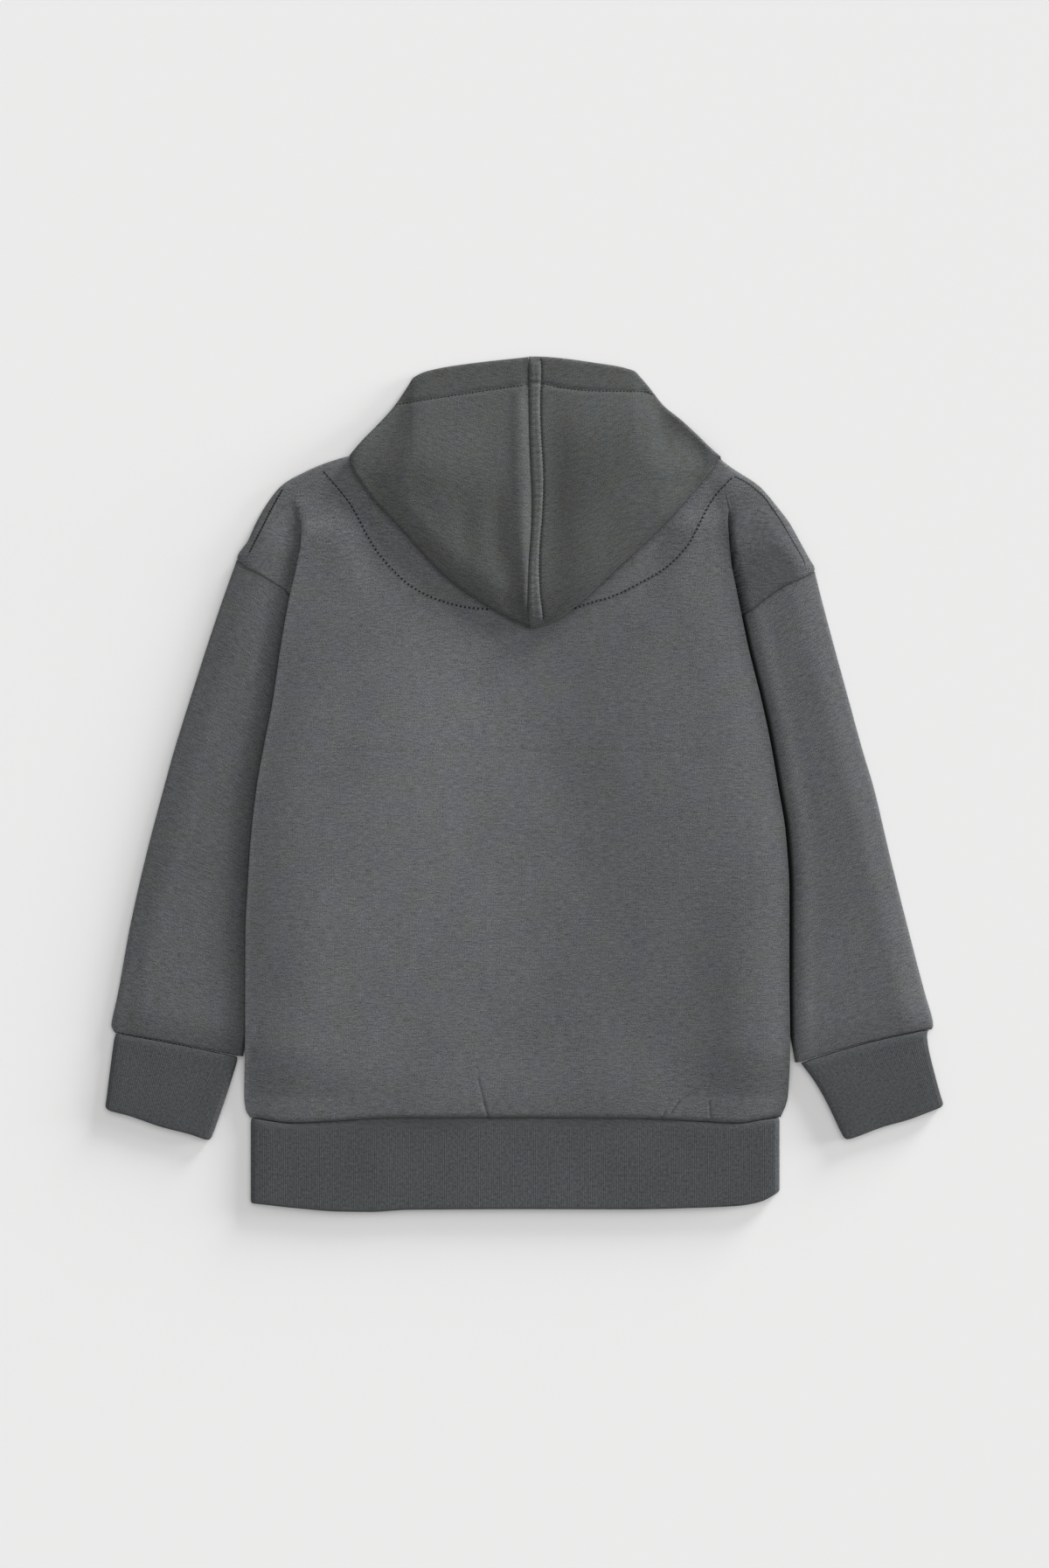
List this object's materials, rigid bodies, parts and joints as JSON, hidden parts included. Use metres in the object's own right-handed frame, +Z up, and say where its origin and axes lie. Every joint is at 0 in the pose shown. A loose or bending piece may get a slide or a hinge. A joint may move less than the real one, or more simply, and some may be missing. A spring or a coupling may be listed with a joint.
{
  "type": "toddler hoodie",
  "caption": "Plain grey fleece pullover hoodie for a toddler, laid flat with its back up and its hood spread above the shoulders.",
  "frame": {"origin": "under the middle of the garment's outline, on the surface that it lies on", "axes": "+Z up, +Y from the hem to the hood, +X to the right as seen from above, with the back of the garment up"},
  "size_m": [0.4795, 0.4884, 0.0123],
  "materials": {
    "fleece": "matte brushed fleece",
    "rib_knit": "matte rib knit"
  },
  "bodies": {
    "root": {"front_panel": "fleece", "back_panel": "fleece", "sleeve_left": "fleece", "sleeve_right": "fleece", "cuff_left": "rib_knit", "cuff_right": "rib_knit", "hem_band": "rib_knit", "hood_left": "fleece", "hood_right": "fleece"}
  },
  "joints": []
}
